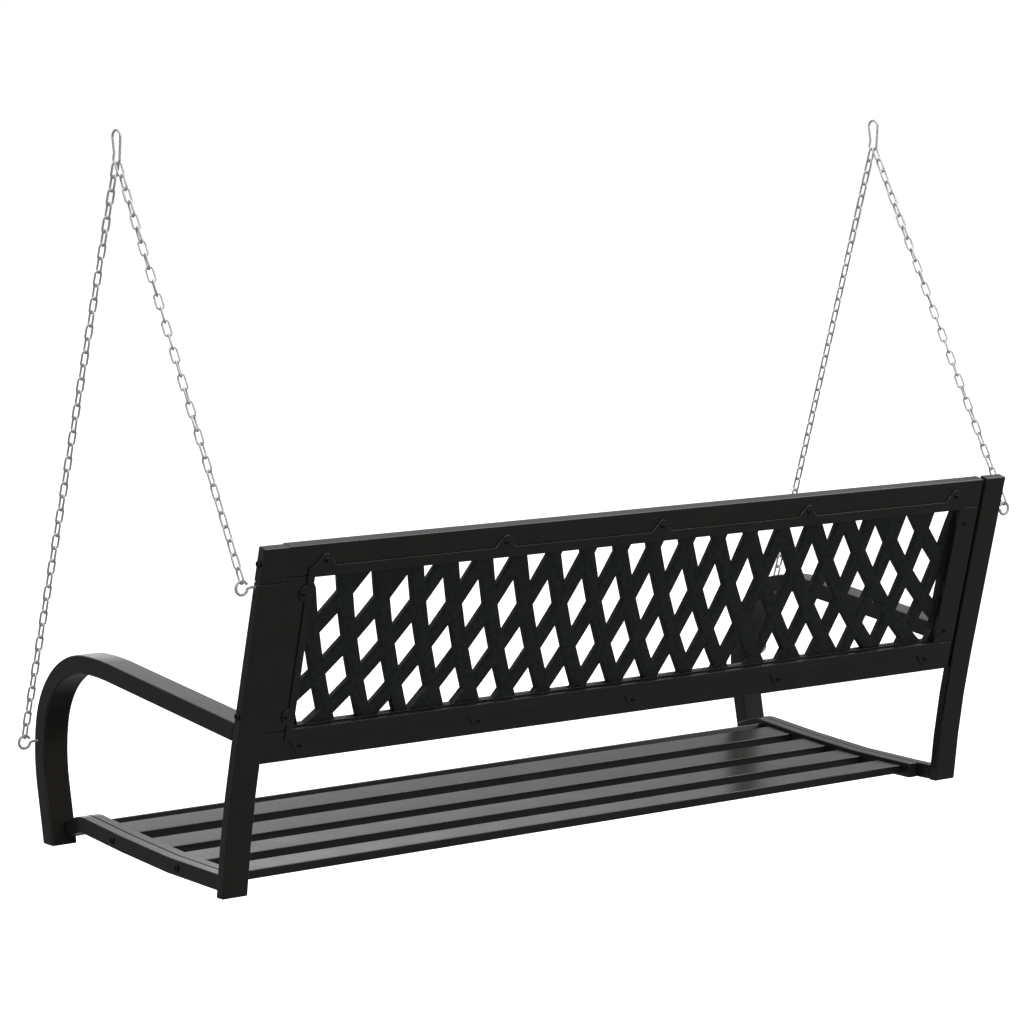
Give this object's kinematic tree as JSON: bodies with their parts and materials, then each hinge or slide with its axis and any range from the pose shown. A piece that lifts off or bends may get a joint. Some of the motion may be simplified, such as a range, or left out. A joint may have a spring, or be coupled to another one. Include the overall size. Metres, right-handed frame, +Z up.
{
  "type": "porch swing",
  "caption": "Hanging steel bench with slatted seat, curved arms and a lattice back, swinging on four chains from two snap hooks",
  "frame": {"origin": "halfway between the two snap hooks, at the top of their inside, where the swing hangs", "axes": "+X to the sitter's left, +Y to the back of the bench, +Z up"},
  "size_m": [1.6222, 0.6613, 1.1564],
  "materials": {
    "frame_paint": "satin black powder coat",
    "lattice_plastic": "matt black moulded plastic with a fine texture",
    "plug_plastic": "matt black plastic",
    "black_fastener": "black screws and bolts, slightly shiny",
    "zinc_steel": "bright zinc plating"
  },
  "bodies": {
    "hooks": {"left_snap_hook": "zinc_steel", "right_snap_hook": "zinc_steel"},
    "bench": {"bottom_rail": "frame_paint", "lattice_panel": "lattice_plastic", "left_arm": "frame_paint", "left_arm_plug": "plug_plastic", "left_back_bolt_1": "black_fastener", "left_back_bolt_2": "black_fastener", "left_front_chain": "zinc_steel", "left_front_eye_bolt": "zinc_steel", "left_post": "frame_paint", "left_post_head": "frame_paint", "left_post_plug": "plug_plastic", "left_rail_plug": "plug_plastic", "left_rear_chain": "zinc_steel", "left_rear_eye_bolt": "zinc_steel", "left_seat_bolt_1": "black_fastener", "left_seat_bolt_2": "black_fastener", "left_seat_rail": "frame_paint", "left_side_rail": "frame_paint", "left_stile": "frame_paint", "panel_frame": "frame_paint", "panel_screw_1": "black_fastener", "panel_screw_10": "black_fastener", "panel_screw_11": "black_fastener", "panel_screw_12": "black_fastener", "panel_screw_13": "black_fastener", "panel_screw_14": "black_fastener", "panel_screw_2": "black_fastener", "panel_screw_3": "black_fastener", "panel_screw_4": "black_fastener", "panel_screw_5": "black_fastener", "panel_screw_6": "black_fastener", "panel_screw_7": "black_fastener", "panel_screw_8": "black_fastener", "panel_screw_9": "black_fastener", "right_arm": "frame_paint", "right_arm_plug": "plug_plastic", "right_back_bolt_1": "black_fastener", "right_back_bolt_2": "black_fastener", "right_front_chain": "zinc_steel", "right_front_eye_bolt": "zinc_steel", "right_post": "frame_paint", "right_post_plug": "plug_plastic", "right_rail_plug": "plug_plastic", "right_rear_chain": "zinc_steel", "right_rear_eye_bolt": "zinc_steel", "right_seat_bolt_1": "black_fastener", "right_seat_bolt_2": "black_fastener", "right_seat_rail": "frame_paint", "right_side_rail": "frame_paint", "right_stile": "frame_paint", "slat_1": "frame_paint", "slat_2": "frame_paint", "slat_3": "frame_paint", "slat_4": "frame_paint", "slat_5": "frame_paint", "top_rail": "frame_paint"},
    "gate_left": {"left_gate": "zinc_steel"},
    "gate_right": {"right_gate": "zinc_steel"}
  },
  "joints": [
    {"name": "swing", "type": "hinge", "parent": "hooks", "child": "bench", "pos_m": [0, 0, -0.0423], "axis": [1, 0, 0], "range_deg": [-30, 30]},
    {"name": "gate_left_spring", "type": "hinge", "parent": "hooks", "child": "gate_left", "pos_m": [0.7985, -0.007, -0.0315], "axis": [-1, 0, 0], "range_deg": [0, 28], "stiffness_Nm_per_rad": 0.05, "springref_deg": -17.19},
    {"name": "gate_right_spring", "type": "hinge", "parent": "hooks", "child": "gate_right", "pos_m": [-0.7985, -0.007, -0.0315], "axis": [-1, 0, 0], "range_deg": [0, 28], "stiffness_Nm_per_rad": 0.05, "springref_deg": -17.19}
  ]
}
